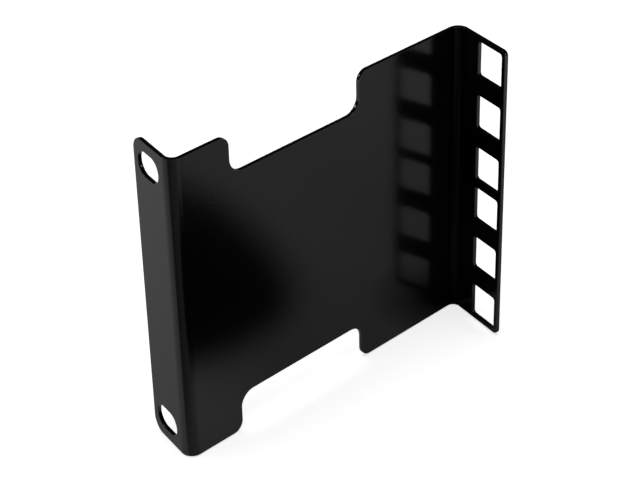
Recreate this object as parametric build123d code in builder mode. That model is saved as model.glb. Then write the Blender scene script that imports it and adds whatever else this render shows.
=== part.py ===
from build123d import *
import math
import os

# Rack depth extender: one sheet of steel folded into a slanted Z.
# It stands on its lower edges. X runs from the rear mounting face to the front one,
# Y runs along the flanges and Z is up. The origin is under the middle of the sheet.

# rack hole pattern, in millimetres
hole_spacing = 15.875
boundary_spacing = 12.7
holes_per_unit = 3
unit_count = 2

# overall form
extension_depth = 101.6
sheet_thickness = 1.2
web_angle = 12.0
bend_radius = 2.0

# flanges, each measured over its fold to its free edge
rear_flange_width = 17.6
front_flange_width = 21.0

# web outline, tab lengths measured from the sharp outer corner of each fold
rear_tab_length = 19.2
front_tab_length = 39.8
tab_step = 11.2

# holes, each set back from the free edge of its flange
square_hole = 10.0
square_setback = 6.5
slot_length = 10.2
slot_height = 6.8
slot_setback = 7.2

# corner radii
tab_corner = 3.2
notch_corner = 4.2
rear_flange_corner = 4.0
front_flange_corner = 1.5
square_hole_corner = 0.8
edge_break = 0.2

# sizes that follow from the ones above
unit_height = (holes_per_unit - 1) * hole_spacing + boundary_spacing
height = unit_count * unit_height
slot_spacing = height - boundary_spacing
slant = math.radians(web_angle)
neutral_radius = bend_radius + sheet_thickness / 2
fold_x = (extension_depth - sheet_thickness) / 2
fold_y = fold_x * math.tan(slant)
corner_to_tangent = neutral_radius / math.tan((math.pi / 2 - slant) / 2)
half_width = fold_y - corner_to_tangent + bend_radius + sheet_thickness
rear_free_edge = rear_flange_width - half_width
front_free_edge = half_width - front_flange_width
web_length = (extension_depth + sheet_thickness * math.sin(slant)) / math.cos(slant)
notch_width = web_length - rear_tab_length - front_tab_length
notch_centre = (rear_tab_length - front_tab_length) / 2

web_plane = Plane(
    origin=(0, 0, height / 2),
    x_dir=(math.cos(slant), math.sin(slant), 0),
    z_dir=(math.sin(slant), -math.cos(slant), 0),
)
rear_plane = Plane.YZ.offset(-extension_depth / 2)
front_plane = Plane.YZ.offset(extension_depth / 2 - sheet_thickness)

with BuildPart() as bracket:
    # the folded sheet, drawn in plan along its middle and given its thickness
    with BuildSketch() as plan:
        with BuildLine() as fold_path:
            FilletPolyline(
                (-fold_x, rear_free_edge),
                (-fold_x, -fold_y),
                (fold_x, fold_y),
                (fold_x, front_free_edge),
                radius=neutral_radius,
            )
        trace(line_width=sheet_thickness)
    extrude(amount=height)

    # the web is narrower between its two tabs, above and below
    with BuildSketch(web_plane) as notches:
        with GridLocations(0, height, 1, 2):
            with Locations((notch_centre, 0)):
                RectangleRounded(notch_width, 2 * tab_step, notch_corner)
    extrude(amount=sheet_thickness, both=True, mode=Mode.SUBTRACT)

    # rounded corners of the tabs, where they meet the notches
    across_web = bracket.edges().filter_by(Axis(web_plane.origin, web_plane.z_dir))
    fillet(across_web.group_by(Axis.Z)[-1] + across_web.group_by(Axis.Z)[0], radius=tab_corner)

    # rounded outer corners of the flanges
    across_flanges = bracket.edges().filter_by(Axis.X).group_by(Axis.X)
    fillet(across_flanges[0].group_by(Axis.Y)[-1], radius=rear_flange_corner)
    across_flanges = bracket.edges().filter_by(Axis.X).group_by(Axis.X)
    fillet(across_flanges[-1].group_by(Axis.Y)[0], radius=front_flange_corner)

    # two screw slots through the rear flange
    with BuildSketch(rear_plane) as slots:
        with Locations((rear_free_edge - slot_setback, height / 2)):
            with GridLocations(0, slot_spacing, 1, 2):
                SlotOverall(slot_length, slot_height)
    extrude(amount=sheet_thickness, mode=Mode.SUBTRACT)

    # square holes through the front flange, three to each rack unit
    with BuildSketch(front_plane) as squares:
        with Locations((front_free_edge + square_setback, height / 2)):
            with GridLocations(0, unit_height, 1, unit_count):
                with GridLocations(0, hole_spacing, 1, holes_per_unit):
                    RectangleRounded(square_hole, square_hole, square_hole_corner)
    extrude(amount=sheet_thickness, mode=Mode.SUBTRACT)

    # the cut edges are broken all round on both sides of the sheet
    folds = bracket.faces().filter_by(GeomType.CYLINDER).sort_by(SortBy.AREA)[-4:]
    flats = bracket.faces().filter_by(GeomType.PLANE).sort_by(SortBy.AREA)[-6:]
    outline = (folds + flats).edges() - folds.edges().filter_by(Axis.Z)
    chamfer(outline, length=edge_break)

bracket.part.label = "bracket"

os.makedirs("parts", exist_ok=True)
export_step(bracket.part, "parts/bracket.step")
print("bracket", round(bracket.part.volume, 1), bracket.part.bounding_box())
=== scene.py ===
import math

import bmesh
import bpy
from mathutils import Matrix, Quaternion, Vector


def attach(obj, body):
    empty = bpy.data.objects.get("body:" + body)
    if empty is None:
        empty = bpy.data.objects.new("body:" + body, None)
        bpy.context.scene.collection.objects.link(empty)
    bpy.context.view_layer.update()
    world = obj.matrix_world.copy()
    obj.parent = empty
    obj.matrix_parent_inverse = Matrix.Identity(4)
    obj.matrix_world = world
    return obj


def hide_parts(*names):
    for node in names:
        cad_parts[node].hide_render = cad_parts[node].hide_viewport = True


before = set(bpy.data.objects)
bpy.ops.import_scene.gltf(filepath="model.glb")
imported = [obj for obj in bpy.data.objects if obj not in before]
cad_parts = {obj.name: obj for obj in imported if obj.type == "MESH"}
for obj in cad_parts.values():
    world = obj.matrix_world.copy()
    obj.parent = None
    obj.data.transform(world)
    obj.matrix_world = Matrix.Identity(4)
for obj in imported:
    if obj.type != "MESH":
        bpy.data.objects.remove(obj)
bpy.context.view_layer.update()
print("frame loaded, nodes:", ", ".join(sorted(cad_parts)))

bpy.context.scene.view_settings.view_transform = "Standard"


# camera, all lengths in metres and angles in degrees

cameraLook = {
    "aim": (-0.00157, 0.00071, 0.04408),
    "azimuth": -32.05,
    "elevation": 31.76,
    "roll": -1.39,
    "distance": 0.5138,
    "lens": 109.52,
    "sensor": 36.0,
    "clip": (0.01, 20.0),
}


def addCamera(look):
    turn, tilt = math.radians(look["azimuth"]), math.radians(look["elevation"])
    back = Vector((math.sin(turn) * math.cos(tilt), -math.cos(turn) * math.cos(tilt), math.sin(tilt)))
    bpy.ops.object.camera_add(location=Vector(look["aim"]) + back * look["distance"])
    camera = bpy.context.object
    camera.name = "photoCamera"
    roll = Quaternion(back, math.radians(look["roll"]))
    camera.rotation_euler = (roll @ back.to_track_quat("Z", "Y")).to_euler()
    camera.data.lens = look["lens"]
    camera.data.sensor_width = look["sensor"]
    camera.data.clip_start, camera.data.clip_end = look["clip"]
    camera.data.dof.use_dof = False
    bpy.context.scene.camera = camera


addCamera(cameraLook)
print("camera placed")


# small helpers for picking and shaping

closeness = {                 # how near still counts as the same place, in metres
    "point": 1e-6,
    "line": 1e-5,
    "corner": 1e-4,
    "foldFace": 3e-5,         # faces round a fold are flat, so they lie a little inside it
}


def workOn(piece):
    bpy.ops.object.select_all(action="DESELECT")
    piece.select_set(True)
    bpy.context.view_layer.objects.active = piece


def pickEdges(piece, wanted):  # edit mode, with the edges selected whose two ends pass the test
    workOn(piece)
    bpy.ops.object.mode_set(mode="EDIT")
    bpy.ops.mesh.select_mode(type="EDGE")
    bpy.ops.mesh.select_all(action="DESELECT")
    mesh = bmesh.from_edit_mesh(piece.data)
    for edge in mesh.edges:
        edge.select_set(bool(wanted(edge.verts[0].co, edge.verts[1].co)))
    mesh.select_flush_mode()
    bmesh.update_edit_mesh(piece.data)


def finishShape(piece, kind, **settings):  # one modifier, applied
    workOn(piece)
    bpy.ops.object.modifier_add(type=kind)
    modifier = piece.modifiers[-1]
    for name, value in settings.items():
        setattr(modifier, name, value)
    bpy.ops.object.modifier_apply(modifier=modifier.name)


# bracket: one sheet folded into a slanted Z, sizes in metres

sheetSizes = {
    "depth": 0.1016,          # between the outer faces of the two flanges
    "height": 0.0889,
    "thickness": 0.0012,
    "webAngle": 12.0,         # slant of the web, in degrees
    "bendRadius": 0.002,      # inside the folds
    "foldSteps": 24,
    "rearFreeEdge": 0.00694,  # where the rear flange ends
    "frontFreeEdge": -0.01034,
    "rearCorner": 0.004,
    "rearCornerSteps": 12,
    "frontCorner": 0.0015,
    "frontCornerSteps": 6,
}

notchSizes = {
    "rearEnd": -0.03286,      # along the web from its middle
    "frontEnd": 0.01226,
    "depth": 0.0112,
    "innerCorner": 0.0042,
    "tabCorner": 0.0032,
    "cornerSteps": 12,
    "punchDepth": 0.012,      # through the sheet with room to spare
}

holeSizes = {
    "slotLength": 0.0102,
    "slotHeight": 0.0068,
    "slotSteps": 16,          # to each quarter round, here and below
    "slotPlace": -0.00026,    # across the rear flange
    "slotHeights": (0.00635, 0.08255),
    "square": 0.01,
    "squareCorner": 0.0008,
    "squareSteps": 5,
    "squarePlace": -0.00384,  # across the front flange
    "squareHeights": (0.00635, 0.022225, 0.0381, 0.0508, 0.066675, 0.08255),
    "punchDepth": 0.006,
}

edgeSizes = {
    "break": 0.00022,         # softened edge of the coated sheet
    "segments": 3,
    "sharpAngle": 40.0,       # edges sharper than this are softened
    "smoothAngle": 35.0,      # edges blunter than this are shaded smooth
    "faceWeight": 80,
}

slant = math.radians(sheetSizes["webAngle"])
along = Vector((math.cos(slant), math.sin(slant), 0))    # along the web, rear to front
across = Vector((-math.sin(slant), math.cos(slant), 0))  # out of the web's hidden side
midHeight = sheetSizes["height"] / 2
flangeMid = (sheetSizes["depth"] - sheetSizes["thickness"]) / 2
foldRadius = sheetSizes["bendRadius"] + sheetSizes["thickness"] / 2  # of the middle of the sheet
foldAngle = math.pi / 2 + slant
cornerRun = foldRadius * math.tan(foldAngle / 2)         # from a fold's sharp corner to its flat
webHalf = flangeMid / math.cos(slant) - cornerRun
foldAxis = Vector((flangeMid - foldRadius, flangeMid * math.tan(slant) - cornerRun, 0))  # of the front fold


def foldEdge(sheet, side, freeEdge):  # side -1 is the rear fold, 1 the front one
    end = along * (side * webHalf)

    def webEnd(a, b):
        return (a - b).z != 0 and all(abs((p - end).dot(along)) < closeness["line"] for p in (a, b))

    pickEdges(sheet, webEnd)
    centre = end - across * (side * foldRadius)
    bpy.ops.mesh.spin(steps=sheetSizes["foldSteps"], angle=foldAngle, center=centre, axis=(0, 0, 1))
    foldEnd = side * (flangeMid * math.tan(slant) - cornerRun)
    bpy.ops.mesh.extrude_region_move(TRANSFORM_OT_translate={"value": (0, freeEdge - foldEnd, 0)})
    bpy.ops.object.mode_set(mode="OBJECT")


def roundCorners(sheet, radius, segments, wanted):
    pickEdges(sheet, wanted)
    bpy.ops.mesh.bevel(offset=radius, segments=segments, affect="EDGES", profile=0.5, clamp_overlap=False)
    bpy.ops.object.mode_set(mode="OBJECT")


def addPunch(name, size, corner, segments, place, turn=0.0):  # a block with its long edges rounded
    bpy.ops.object.select_all(action="DESELECT")
    bpy.ops.mesh.primitive_cube_add(size=1, location=(0, 0, 0))
    punch = bpy.context.object
    punch.name = name
    punch.scale = size
    bpy.ops.object.transform_apply(location=False, rotation=False, scale=True)
    pickEdges(punch, lambda a, b: abs(a.x - b.x) > closeness["point"])
    bpy.ops.mesh.bevel(offset=corner, segments=segments, affect="EDGES", profile=0.5)
    bpy.ops.object.mode_set(mode="OBJECT")
    punch.rotation_euler = (0, 0, turn)
    punch.location = place
    bpy.ops.object.transform_apply(location=True, rotation=True, scale=True)
    return punch


def copyPunch(punch, move):
    workOn(punch)
    bpy.ops.object.duplicate(linked=False)
    double = bpy.context.object
    double.location = move
    bpy.ops.object.transform_apply(location=True, rotation=False, scale=False)
    return double


def cutOut(sheet, punches):
    workOn(punches[0])
    for punch in punches:
        punch.select_set(True)
    bpy.ops.object.join()
    punch = bpy.context.object
    finishShape(sheet, "BOOLEAN", operation="DIFFERENCE", solver="EXACT", object=punch)
    bpy.data.objects.remove(punch)


def makeSheet():
    bpy.ops.object.select_all(action="DESELECT")
    bpy.ops.mesh.primitive_plane_add(size=1, location=(0, 0, midHeight), rotation=(math.pi / 2, 0, slant))
    sheet = bpy.context.object
    sheet.name = sheet.data.name = "bracketSheet"
    sheet.scale = (2 * webHalf, sheetSizes["height"], 1)
    bpy.ops.object.transform_apply(location=True, rotation=True, scale=True)
    foldEdge(sheet, -1, sheetSizes["rearFreeEdge"])
    foldEdge(sheet, 1, sheetSizes["frontFreeEdge"])
    workOn(sheet)
    bpy.ops.object.mode_set(mode="EDIT")
    bpy.ops.mesh.select_all(action="SELECT")
    bpy.ops.mesh.remove_doubles(threshold=closeness["point"])
    bpy.ops.mesh.normals_make_consistent(inside=False)
    bpy.ops.object.mode_set(mode="OBJECT")
    finishShape(sheet, "SOLIDIFY", thickness=sheetSizes["thickness"], offset=0.0, use_even_offset=True)
    print("sheet folded")
    return sheet


def roundFlange(sheet, side, end):  # end is rear or front, as in the names of the sizes
    freeEdge, near = sheetSizes[end + "FreeEdge"], closeness["corner"]

    def flangeCorner(a, b):
        return abs(a.x - b.x) > near and all(
            p.x * side > flangeMid / 2 and abs(p.y - freeEdge) < near for p in (a, b))

    roundCorners(sheet, sheetSizes[end + "Corner"], sheetSizes[end + "CornerSteps"], flangeCorner)


def cutNotches(sheet):
    length = notchSizes["frontEnd"] - notchSizes["rearEnd"]
    middle = along * (notchSizes["rearEnd"] + notchSizes["frontEnd"]) / 2
    size = (notchSizes["punchDepth"], length, 2 * notchSizes["depth"])
    corner, segments = notchSizes["innerCorner"], notchSizes["cornerSteps"]
    lower = addPunch("notchPunch", size, corner, segments, middle, slant - math.pi / 2)
    upper = copyPunch(lower, (0, 0, sheetSizes["height"]))
    cutOut(sheet, [lower, upper])

    def isNear(value, *wanted):
        return any(abs(value - each) < closeness["corner"] for each in wanted)

    def tabCorner(a, b):
        return not isNear((a - b).dot(across), 0) and all(
            isNear(p.dot(along), notchSizes["rearEnd"], notchSizes["frontEnd"])
            and isNear(p.z, 0, sheetSizes["height"]) for p in (a, b))

    roundCorners(sheet, notchSizes["tabCorner"], segments, tabCorner)
    print("notches cut")


def cutRow(sheet, name, size, corner, segments, place, heights):  # equal holes, one above the other
    first, *others = heights
    punch = addPunch(name, (holeSizes["punchDepth"], *size), corner, segments, (*place, first))
    cutOut(sheet, [punch] + [copyPunch(punch, (0, 0, height - first)) for height in others])


def cutHoles(sheet):
    length, height, square = holeSizes["slotLength"], holeSizes["slotHeight"], holeSizes["square"]
    slotEnd = height / 2 - closeness["point"]
    cutRow(sheet, "slotPunch", (length, height), slotEnd, holeSizes["slotSteps"],
           (-flangeMid, holeSizes["slotPlace"]), holeSizes["slotHeights"])
    cutRow(sheet, "squarePunch", (square, square), holeSizes["squareCorner"], holeSizes["squareSteps"],
           (flangeMid, holeSizes["squarePlace"]), holeSizes["squareHeights"])
    print("slots and square holes cut")


def softenEdges(sheet):
    finishShape(sheet, "BEVEL", width=edgeSizes["break"], segments=edgeSizes["segments"],
                limit_method="ANGLE", angle_limit=math.radians(edgeSizes["sharpAngle"]),
                use_clamp_overlap=False, miter_outer="MITER_ARC")
    workOn(sheet)
    bpy.ops.object.shade_smooth_by_angle(angle=math.radians(edgeSizes["smoothAngle"]))
    finishShape(sheet, "WEIGHTED_NORMAL", mode="FACE_AREA", weight=edgeSizes["faceWeight"], keep_sharp=True)
    print("edges softened:", len(sheet.data.polygons), "faces")


bracketSheet = makeSheet()
roundFlange(bracketSheet, -1, "rear")
roundFlange(bracketSheet, 1, "front")
cutNotches(bracketSheet)
cutHoles(bracketSheet)
softenEdges(bracketSheet)


# black powder coat in three kinds, by face

skinLook = {                  # what all three kinds share
    "peelDetail": 1.5,
    "grainDetail": 2.0,
    "mottleScale": 60.0,
    "mottleDetail": 4.0,
}

coatLook = {
    "dark": (0.0002, 0.0002, 0.0002, 1),
    "light": (0.0006, 0.0006, 0.0007, 1),
    "roughness": 0.15,
    "roughSpread": 0.012,
    "peelScale": 900.0,       # bumps of about a millimetre
    "grainScale": 5200.0,     # fine powder grain
    "peelShare": 0.75,
    "bumpDepth": 0.000014,
    "ior": 1.4,
}

cornerCoatLook = {            # dull and less reflective inside the folds: painted shade in the creases
    "dark": (0.0002, 0.0002, 0.0002, 1),
    "light": (0.0006, 0.0006, 0.0007, 1),
    "roughness": 0.30,
    "roughSpread": 0.05,
    "peelScale": 900.0,
    "grainScale": 5200.0,
    "peelShare": 0.5,
    "bumpDepth": 0.00001,
    "ior": 1.18,
}

edgeCoatLook = {              # heavier on the cut edges
    "dark": (0.0008, 0.0008, 0.0009, 1),
    "light": (0.0018, 0.0018, 0.0020, 1),
    "roughness": 0.15,
    "roughSpread": 0.02,
    "peelScale": 1400.0,
    "grainScale": 6000.0,
    "peelShare": 0.5,
    "bumpDepth": 0.00002,
    "ior": 1.6,
}


def addNode(tree, kind, place, **settings):
    node = tree.nodes.new(kind)
    node.location = place
    for name, value in settings.items():
        setattr(node, name, value)
    return node


def addStep(tree, value, start, end, low, high, kind="SMOOTHSTEP"):  # low before start, high past end
    step = addNode(tree, "ShaderNodeMapRange", (-500, 0), interpolation_type=kind)
    for socket, number in (("From Min", start), ("From Max", end), ("To Min", low), ("To Max", high)):
        step.inputs[socket].default_value = number
    tree.links.new(value, step.inputs["Value"])
    return step.outputs["Result"]


def addReach(tree, place, angle):  # how far out a point lies, in a direction given in degrees
    reach = addNode(tree, "ShaderNodeVectorMath", (-800, 0), operation="DOT_PRODUCT")
    reach.inputs[1].default_value = (math.cos(math.radians(angle)), math.sin(math.radians(angle)), 0)
    tree.links.new(place, reach.inputs[0])
    return reach.outputs["Value"]


def addDistance(tree, place, centre):
    distance = addNode(tree, "ShaderNodeVectorMath", (-800, 0), operation="DISTANCE")
    distance.inputs[1].default_value = centre
    tree.links.new(place, distance.inputs[0])
    return distance.outputs["Value"]


def addMaths(tree, operation, first, second):
    node = addNode(tree, "ShaderNodeMath", (-300, 0), operation=operation)
    for socket, value in zip(node.inputs, (first, second)):
        if isinstance(value, (int, float)):
            socket.default_value = value
        else:
            tree.links.new(value, socket)
    return node.outputs["Value"]


def makePowderSkin(look):  # shared group: height and mottling of sprayed powder
    group = bpy.data.node_groups.new("powderSkin", "ShaderNodeTree")
    sockets = (("Place", "INPUT", "NodeSocketVector"), ("Peel Scale", "INPUT", "NodeSocketFloat"),
               ("Grain Scale", "INPUT", "NodeSocketFloat"), ("Peel Share", "INPUT", "NodeSocketFloat"),
               ("Height", "OUTPUT", "NodeSocketFloat"), ("Mottle", "OUTPUT", "NodeSocketFloat"))
    for name, way, kind in sockets:
        group.interface.new_socket(name=name, in_out=way, socket_type=kind)
    link = group.links.new
    given = addNode(group, "NodeGroupInput", (-800, 0))
    peel = addNode(group, "ShaderNodeTexNoise", (-500, 200))
    peel.inputs["Detail"].default_value = look["peelDetail"]
    grain = addNode(group, "ShaderNodeTexNoise", (-500, -100))
    grain.inputs["Detail"].default_value = look["grainDetail"]
    mottle = addNode(group, "ShaderNodeTexNoise", (-500, -400))
    mottle.inputs["Scale"].default_value = look["mottleScale"]
    mottle.inputs["Detail"].default_value = look["mottleDetail"]
    blend = addNode(group, "ShaderNodeMix", (-200, 100), data_type="FLOAT")
    out = addNode(group, "NodeGroupOutput", (100, 0))
    for texture in (peel, grain, mottle):
        link(given.outputs["Place"], texture.inputs["Vector"])
    link(given.outputs["Peel Scale"], peel.inputs["Scale"])
    link(given.outputs["Grain Scale"], grain.inputs["Scale"])
    link(given.outputs["Peel Share"], blend.inputs["Factor"])
    link(grain.outputs["Fac"], blend.inputs["A"])
    link(peel.outputs["Fac"], blend.inputs["B"])
    link(blend.outputs["Result"], out.inputs["Height"])
    link(mottle.outputs["Fac"], out.inputs["Mottle"])
    return group


def makeCoat(name, look, skin):
    material = bpy.data.materials.new(name)
    material.use_nodes = True
    tree = material.node_tree
    link = tree.links.new
    shader = tree.nodes["Principled BSDF"]
    shader.inputs["IOR"].default_value = look["ior"]
    place = addNode(tree, "ShaderNodeTexCoord", (-1000, 0))
    powder = addNode(tree, "ShaderNodeGroup", (-750, 0), node_tree=skin)
    powder.inputs["Peel Scale"].default_value = look["peelScale"]
    powder.inputs["Grain Scale"].default_value = look["grainScale"]
    powder.inputs["Peel Share"].default_value = look["peelShare"]
    colour = addNode(tree, "ShaderNodeMix", (-400, 300), data_type="RGBA")
    colour.inputs["A"].default_value = look["dark"]
    colour.inputs["B"].default_value = look["light"]
    rough = addNode(tree, "ShaderNodeMapRange", (-400, 0))
    rough.inputs["To Min"].default_value = look["roughness"] - look["roughSpread"]
    rough.inputs["To Max"].default_value = look["roughness"] + look["roughSpread"]
    bump = addNode(tree, "ShaderNodeBump", (-400, -300))
    bump.inputs["Strength"].default_value = 1.0
    bump.inputs["Distance"].default_value = look["bumpDepth"]
    link(place.outputs["Object"], powder.inputs["Place"])
    link(powder.outputs["Mottle"], colour.inputs["Factor"])
    link(powder.outputs["Mottle"], rough.inputs["Value"])
    link(powder.outputs["Height"], bump.inputs["Height"])
    link(colour.outputs["Result"], shader.inputs["Base Color"])
    link(rough.outputs["Result"], shader.inputs["Roughness"])
    link(bump.outputs["Normal"], shader.inputs["Normal"])
    return material


coatOrder = {"broad": 0, "corner": 1, "edge": 2}  # as the materials stand on the mesh

facing = {                    # how much of a face's normal points a given way
    "squarely": 0.9,
    "hardly": 0.1,
}


def coatAt(point, normal):  # which coat a face wears, by its middle and its normal
    plan = Vector((point.x, point.y, 0))

    def onSkin(distance, near):  # distance from the middle of the sheet
        return abs(abs(distance) - sheetSizes["thickness"] / 2) < near

    flange = onSkin(abs(plan.x) - flangeMid, closeness["line"]) and abs(normal.x) > facing["squarely"]
    web = onSkin(plan.dot(across), closeness["line"]) and abs(normal.dot(across)) > facing["squarely"]
    fold = min((plan - foldAxis).length, (plan + foldAxis).length) - foldRadius
    if onSkin(fold, closeness["foldFace"]) and abs(normal.z) < facing["hardly"]:
        return coatOrder["broad" if fold > 0 else "corner"]
    return coatOrder["broad" if flange or web else "edge"]


def wearCoats(piece, coats):
    piece.data.materials.clear()
    for coat in coats:
        piece.data.materials.append(coat)
    for face in piece.data.polygons:
        face.material_index = coatAt(face.center, face.normal)


powderSkin = makePowderSkin(skinLook)
wearCoats(bracketSheet, [
    makeCoat("blackPowderCoat", coatLook, powderSkin),
    # the corner coat's weaker reflection is painted shade in the creases
    makeCoat("blackCornerCoat", cornerCoatLook, powderSkin),
    makeCoat("blackEdgeCoat", edgeCoatLook, powderSkin),
])
print("powder coat made")

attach(bracketSheet, "root")
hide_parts("bracket")


# stage: pale floor and soft studio light

stageLook = {
    "floorSize": 6.0,
    "floorDrop": 0.0002,
    "floorColour": (0.86, 0.86, 0.86, 1),
    "floorGlow": 0.7,         # the floor is a light table, which keeps shadows faint
    "topPower": 16.0,
    "topSize": 1.6,
    "topPlace": (-0.1, 0.1, 1.5),
    "ambient": 0.015,
}

cardLook = {                  # cards lie on the floor and show only as reflections in the black coat
    "length": 1.6,            # along the web
    "reach": 0.8,             # away from it
    "height": -0.0001,        # just above the floor
}

backCard = {                  # behind the web's line, its light turns about the rear fold
    "turnCentre": (-0.050, -0.010, 0),
    "turns": (                # turn from the web in degrees, light
        (0, 0.45), (104, 0.50), (112, 0.54), (126, 0.74), (140, 0.86),
        (155, 1.0), (168, 1.04), (176, 0.88), (180, 0.76),
    ),
    "riseWay": 90.0,          # the way out beside the rear flange, in degrees
    "rise": (0.0, 0.12, 0.66, 1.0),  # from and to what distance that way, share of the light at each; the lower share near the bracket is painted shade
}

frontCard = {                 # in front of the web, dimmer near it: painted shadow of the bracket on the reflected floor
    "rise": (0.0, 0.11, 0.235, 0.53),  # from and to what distance from the web, light at each
    "distant": (0.13, 0.30, 0.0, 0.60),  # the same, added far out
    "fades": (                # from and to what place along the web, share of the light at each
        (-0.110, -0.050, 0.58, 1.0),
        (0.045, 0.080, 1.0, 0.88),
    ),
    # centre, inner and outer radius, light inside and outside
    "spot": ((-0.036, -0.0225, 0), 0.0, 0.038, 0.22, 0.0),  # added before the rear fold
    "footShadow": ((0.050, 0.005, 0), 0.003, 0.022, 0.0, 1.0),  # painted contact shadow at the front fold's foot, in the reflected floor
    "foldDarkReflection": ((-0.028, -0.096, 0), 0.035, 0.058, 0.0, 1.0),  # painted dark reflection, where the rear fold mirrors the card
    # a painted dark reflection on the rest, where all of these overlap
    "darkReflectionSides": (            # way out in degrees, distance from the origin, softness
        (149.0, 0.0925, 0.0195),
        (-75.0, 0.126, 0.0105),
    ),
    "darkReflectionRounds": (           # centre, radius, softness
        ((-0.0506, -0.1192, 0), 0.1190, 0.009),
        ((0.0172, -0.0850, 0), 0.0584, 0.0095),
    ),
}

glintLook = {                 # small cards in the air, for glints on the rounded corners of the cut edges
    "cards": (                # name, direction, light
        ("leftGlint", (-0.69, 0.49, 0.54), 9.5),
        ("rightGlint", (0.38, -0.74, 0.56), 6.0),
    ),
    "distance": 1.2,
    "size": 0.4,
    "fade": (0.06, 0.17),     # distance from its middle
}


def addFloor(look):
    bpy.ops.object.select_all(action="DESELECT")
    bpy.ops.mesh.primitive_plane_add(size=look["floorSize"], location=(0, 0, -look["floorDrop"]))
    floor = bpy.context.object
    floor.name = "paleFloor"
    bpy.ops.object.transform_apply(location=True, rotation=True, scale=True)
    paper = bpy.data.materials.new("paleFloorPaper")
    paper.use_nodes = True
    shader = paper.node_tree.nodes["Principled BSDF"]
    shader.inputs["Base Color"].default_value = look["floorColour"]
    shader.inputs["Roughness"].default_value = 1.0
    shader.inputs["Specular IOR Level"].default_value = 0.0
    shader.inputs["Emission Color"].default_value = (1, 1, 1, 1)
    shader.inputs["Emission Strength"].default_value = look["floorGlow"]
    floor.data.materials.append(paper)


def addSoftbox(look):
    bpy.ops.object.light_add(type="AREA", location=look["topPlace"])
    softbox = bpy.context.object
    softbox.name = "topSoftbox"
    softbox.data.shape = "SQUARE"
    softbox.data.size = look["topSize"]
    softbox.data.energy = look["topPower"]
    softbox.visible_glossy = False  # the top edges stay black


def setAmbient(look):
    world = bpy.data.worlds.new("studioAir")
    world.use_nodes = True
    world.node_tree.nodes["Background"].inputs["Color"].default_value = (1, 1, 1, 1)
    world.node_tree.nodes["Background"].inputs["Strength"].default_value = look["ambient"]
    bpy.context.scene.world = world


def startGlow(name):
    material = bpy.data.materials.new(name)
    material.use_nodes = True
    tree = material.node_tree
    tree.nodes.remove(tree.nodes["Principled BSDF"])
    place = addNode(tree, "ShaderNodeTexCoord", (-1100, 0))
    return material, tree, place.outputs["Object"]


def endGlow(tree, strength):
    emission = addNode(tree, "ShaderNodeEmission", (0, 0))
    tree.links.new(strength, emission.inputs["Strength"])
    tree.links.new(emission.outputs["Emission"], tree.nodes["Material Output"].inputs["Surface"])


def makeBackGlow(look):
    material, tree, place = startGlow("backCardGlow")
    turned = addNode(tree, "ShaderNodeMapping", (-900, 0), vector_type="TEXTURE")
    turned.inputs["Location"].default_value = look["turnCentre"]
    turned.inputs["Rotation"].default_value = (0, 0, slant)
    sweep = addNode(tree, "ShaderNodeTexGradient", (-700, 0), gradient_type="RADIAL")
    tree.links.new(place, turned.inputs["Vector"])
    tree.links.new(turned.outputs["Vector"], sweep.inputs["Vector"])
    turns = addNode(tree, "ShaderNodeValToRGB", (-500, 0))
    stops = turns.color_ramp.elements
    stops.remove(stops[1])
    for index, (angle, light) in enumerate(look["turns"]):
        share = 0.5 + angle / 360  # of the sweep, which starts behind the web's line
        stop = stops[0] if index == 0 else stops.new(share)
        stop.position = share
        stop.color = (light, light, light, 1)
    tree.links.new(sweep.outputs["Fac"], turns.inputs["Fac"])
    # less light near the bracket: painted shade in the reflected floor
    rise = addStep(tree, addReach(tree, place, look["riseWay"]), *look["rise"], "LINEAR")
    endGlow(tree, addMaths(tree, "MULTIPLY", turns.outputs["Color"], rise))
    return material


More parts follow.
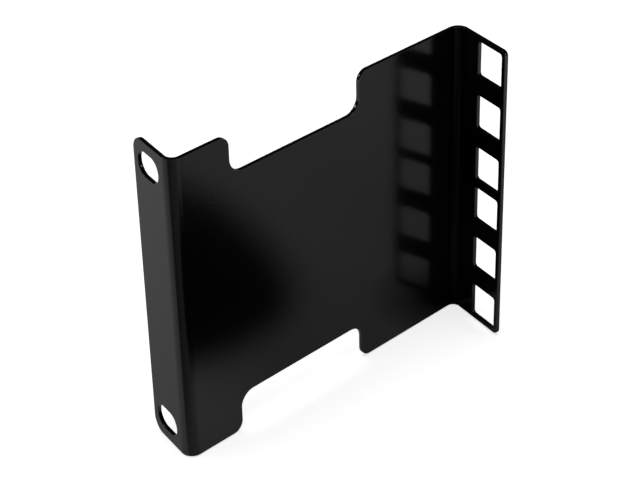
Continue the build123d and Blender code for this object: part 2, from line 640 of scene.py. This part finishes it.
def makeFrontGlow(look):
    material, tree, place = startGlow("frontCardGlow")
    webTurn = sheetSizes["webAngle"]

    def times(first, second):
        return addMaths(tree, "MULTIPLY", first, second)

    def spot(centre, inner, outer, low, high, kind="SMOOTHSTEP"):
        return addStep(tree, addDistance(tree, place, centre), inner, outer, low, high, kind)

    front = addReach(tree, place, webTurn - 90)
    # less light near the web: painted shadow of the bracket
    light = addStep(tree, front, *look["rise"], "LINEAR")
    for fade in look["fades"]:
        light = times(light, addStep(tree, addReach(tree, place, webTurn), *fade))
    light = addMaths(tree, "ADD", light, addStep(tree, front, *look["distant"], "LINEAR"))
    light = addMaths(tree, "ADD", light, spot(*look["spot"]))

    # painted dark reflection: a dark patch where the sides and rounds overlap
    darkReflection = 1.0
    for angle, distance, softness in look["darkReflectionSides"]:
        side = addStep(tree, addReach(tree, place, angle), distance - softness, distance + softness, 1.0, 0.0)
        darkReflection = times(side, darkReflection)
    for centre, radius, softness in look["darkReflectionRounds"]:
        darkReflection = times(spot(centre, radius - softness, radius + softness, 1.0, 0.0), darkReflection)
    light = times(light, addMaths(tree, "SUBTRACT", 1.0, darkReflection))
    # painted dark reflection where the rear fold mirrors the card
    light = times(light, spot(*look["foldDarkReflection"]))
    # painted contact shadow at the front fold's foot
    light = times(light, spot(*look["footShadow"], "LINEAR"))
    endGlow(tree, light)
    return material


def showInReflections(card):  # and in nothing else
    for way in ("camera", "diffuse", "transmission", "volume_scatter", "shadow"):
        setattr(card, "visible_" + way, False)


def addCard(name, material, height, near, far, half):  # beside the web, near and far measured across it
    bpy.ops.object.select_all(action="DESELECT")
    middle = across * ((near + far) / 2)
    bpy.ops.mesh.primitive_plane_add(size=1, location=(middle.x, middle.y, height), rotation=(0, 0, slant))
    card = bpy.context.object
    card.name = name
    card.scale = (2 * half, abs(far - near), 1)
    bpy.ops.object.transform_apply(location=True, rotation=True, scale=True)
    card.data.materials.append(material)
    showInReflections(card)


def addGlint(name, way, light, look):
    middle = Vector(way).normalized() * look["distance"]
    turn = middle.to_track_quat("Z", "Y").to_euler()
    bpy.ops.object.select_all(action="DESELECT")
    bpy.ops.mesh.primitive_plane_add(size=look["size"], location=middle, rotation=turn)
    card = bpy.context.object
    card.name = name
    bpy.ops.object.transform_apply(location=True, rotation=True, scale=True)
    material, tree, place = startGlow(name + "Glow")
    endGlow(tree, addStep(tree, addDistance(tree, place, middle), *look["fade"], light, 0.0))
    card.data.materials.append(material)
    showInReflections(card)


def addCards(look):
    half, reach = look["length"] / 2, look["reach"]
    addCard("backCard", makeBackGlow(backCard), look["height"], 0, reach, half)
    addCard("frontCard", makeFrontGlow(frontCard), look["height"], -reach, 0, half)


addFloor(stageLook)
addSoftbox(stageLook)
setAmbient(stageLook)
addCards(cardLook)
for name, way, light in glintLook["cards"]:
    addGlint(name, way, light, glintLook)
print("stage lit")
